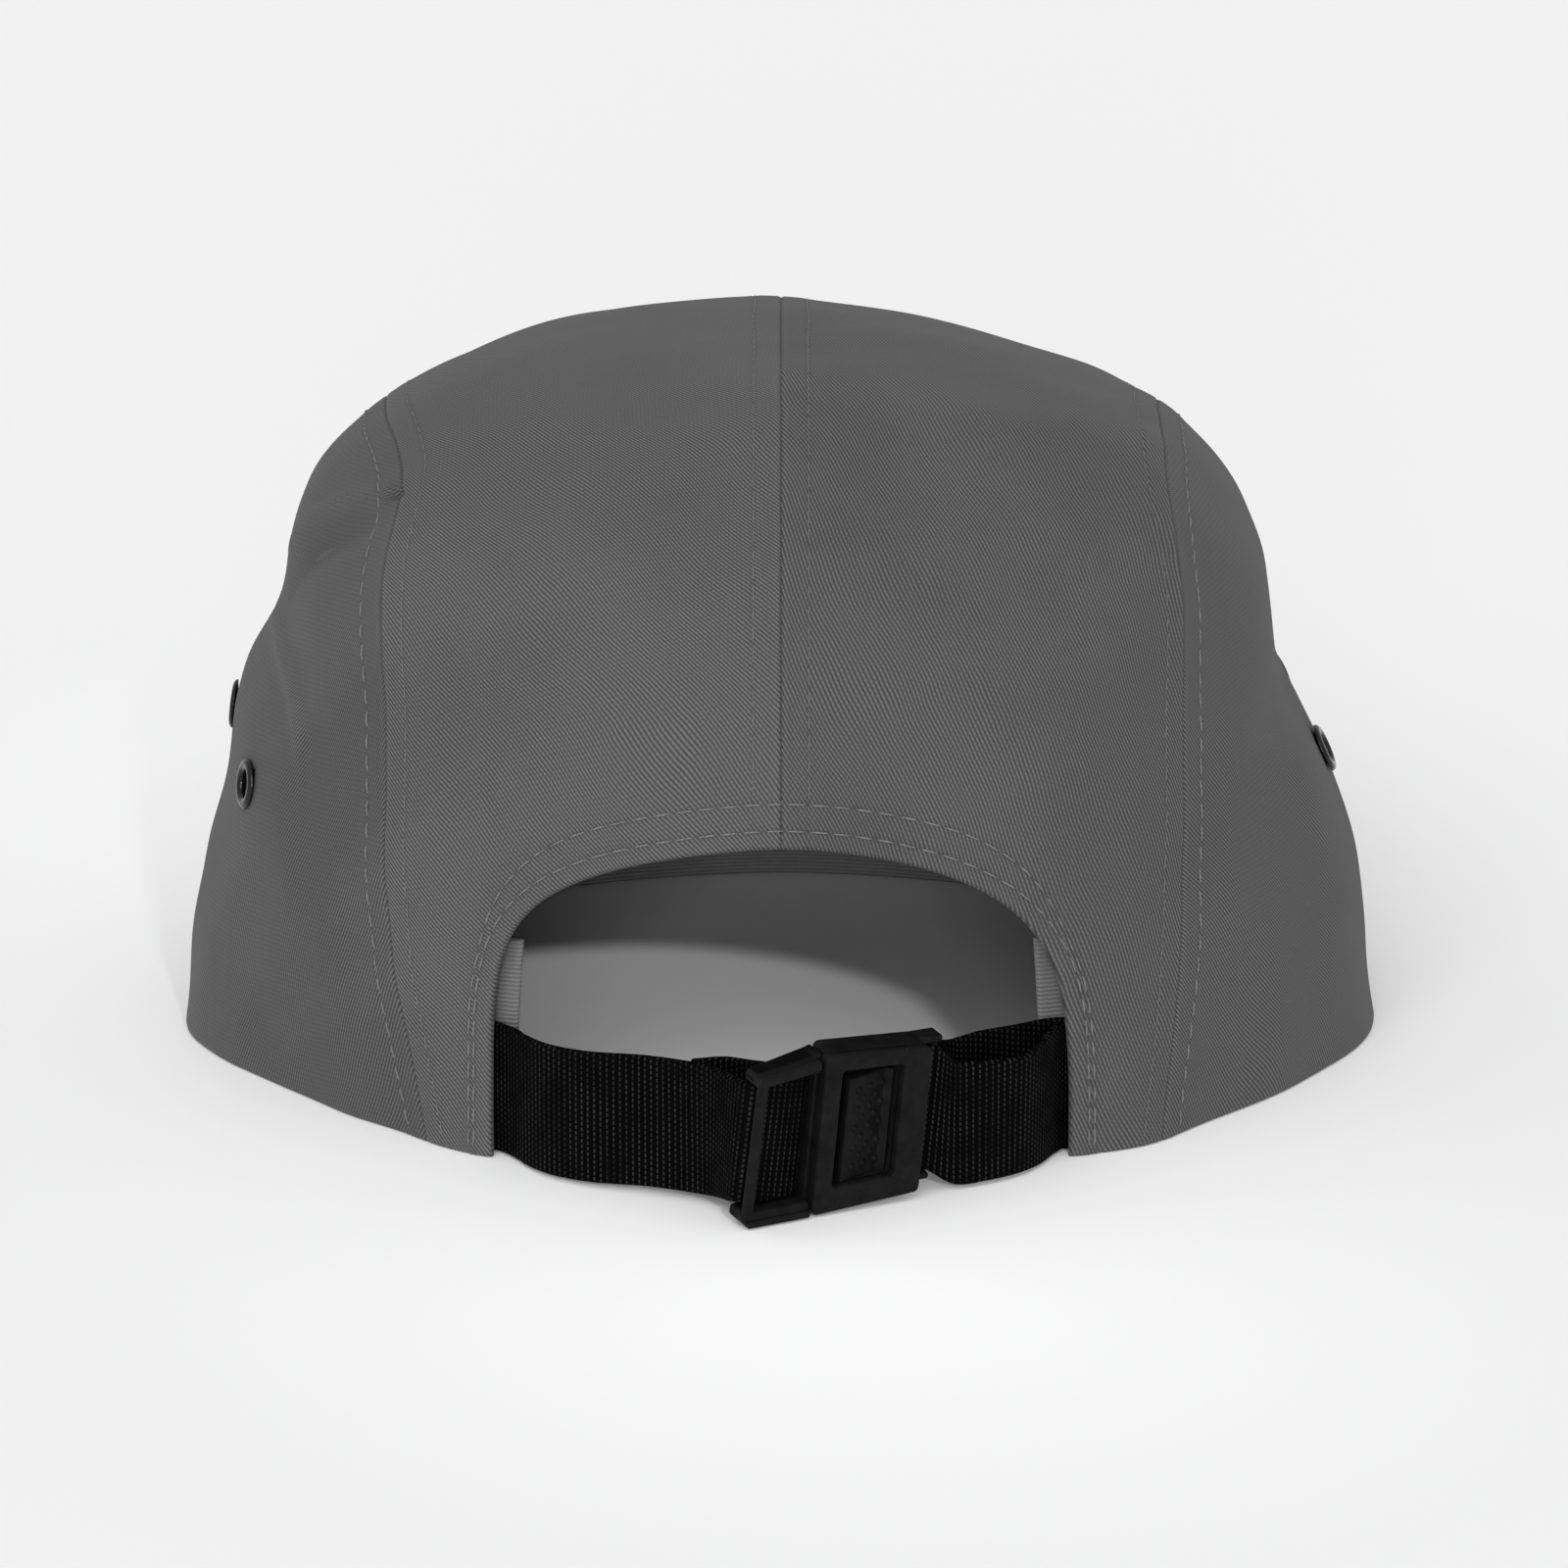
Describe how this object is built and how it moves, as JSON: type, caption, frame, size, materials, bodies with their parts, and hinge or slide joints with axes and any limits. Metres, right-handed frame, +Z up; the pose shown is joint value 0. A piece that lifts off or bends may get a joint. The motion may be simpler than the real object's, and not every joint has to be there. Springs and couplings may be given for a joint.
{
  "type": "five panel cap",
  "caption": "Five panel cap with a flat peak, vent eyelets, an open back arch and a webbing strap closed by a front-release buckle.",
  "frame": {"origin": "middle of the base of the cap's bounding box, on the surface that the cap stands on", "axes": "+Z up, -Y towards the peak, +X towards the wearer's left"},
  "size_m": [0.1938, 0.286, 0.1151],
  "materials": {
    "twill": "matte grey cotton twill with fine slanting ribs",
    "band_cloth": "matte grey ribbed band cloth",
    "webbing": "black woven webbing with rows of upright ribs",
    "buckle_plastic": "black moulded plastic, satin",
    "eyelet_metal": "gloss black"
  },
  "bodies": {
    "root": {"front_panel": "twill", "side_panel_left": "twill", "side_panel_right": "twill", "back_panel_left": "twill", "back_panel_right": "twill", "peak": "twill", "sweatband": "band_cloth", "strap_left": "webbing", "strap_right": "webbing", "eyelet_left_front": "eyelet_metal", "eyelet_left_rear": "eyelet_metal", "eyelet_right_front": "eyelet_metal", "eyelet_right_rear": "eyelet_metal", "buckle_plug": "buckle_plastic", "buckle_socket": "buckle_plastic"}
  },
  "joints": []
}
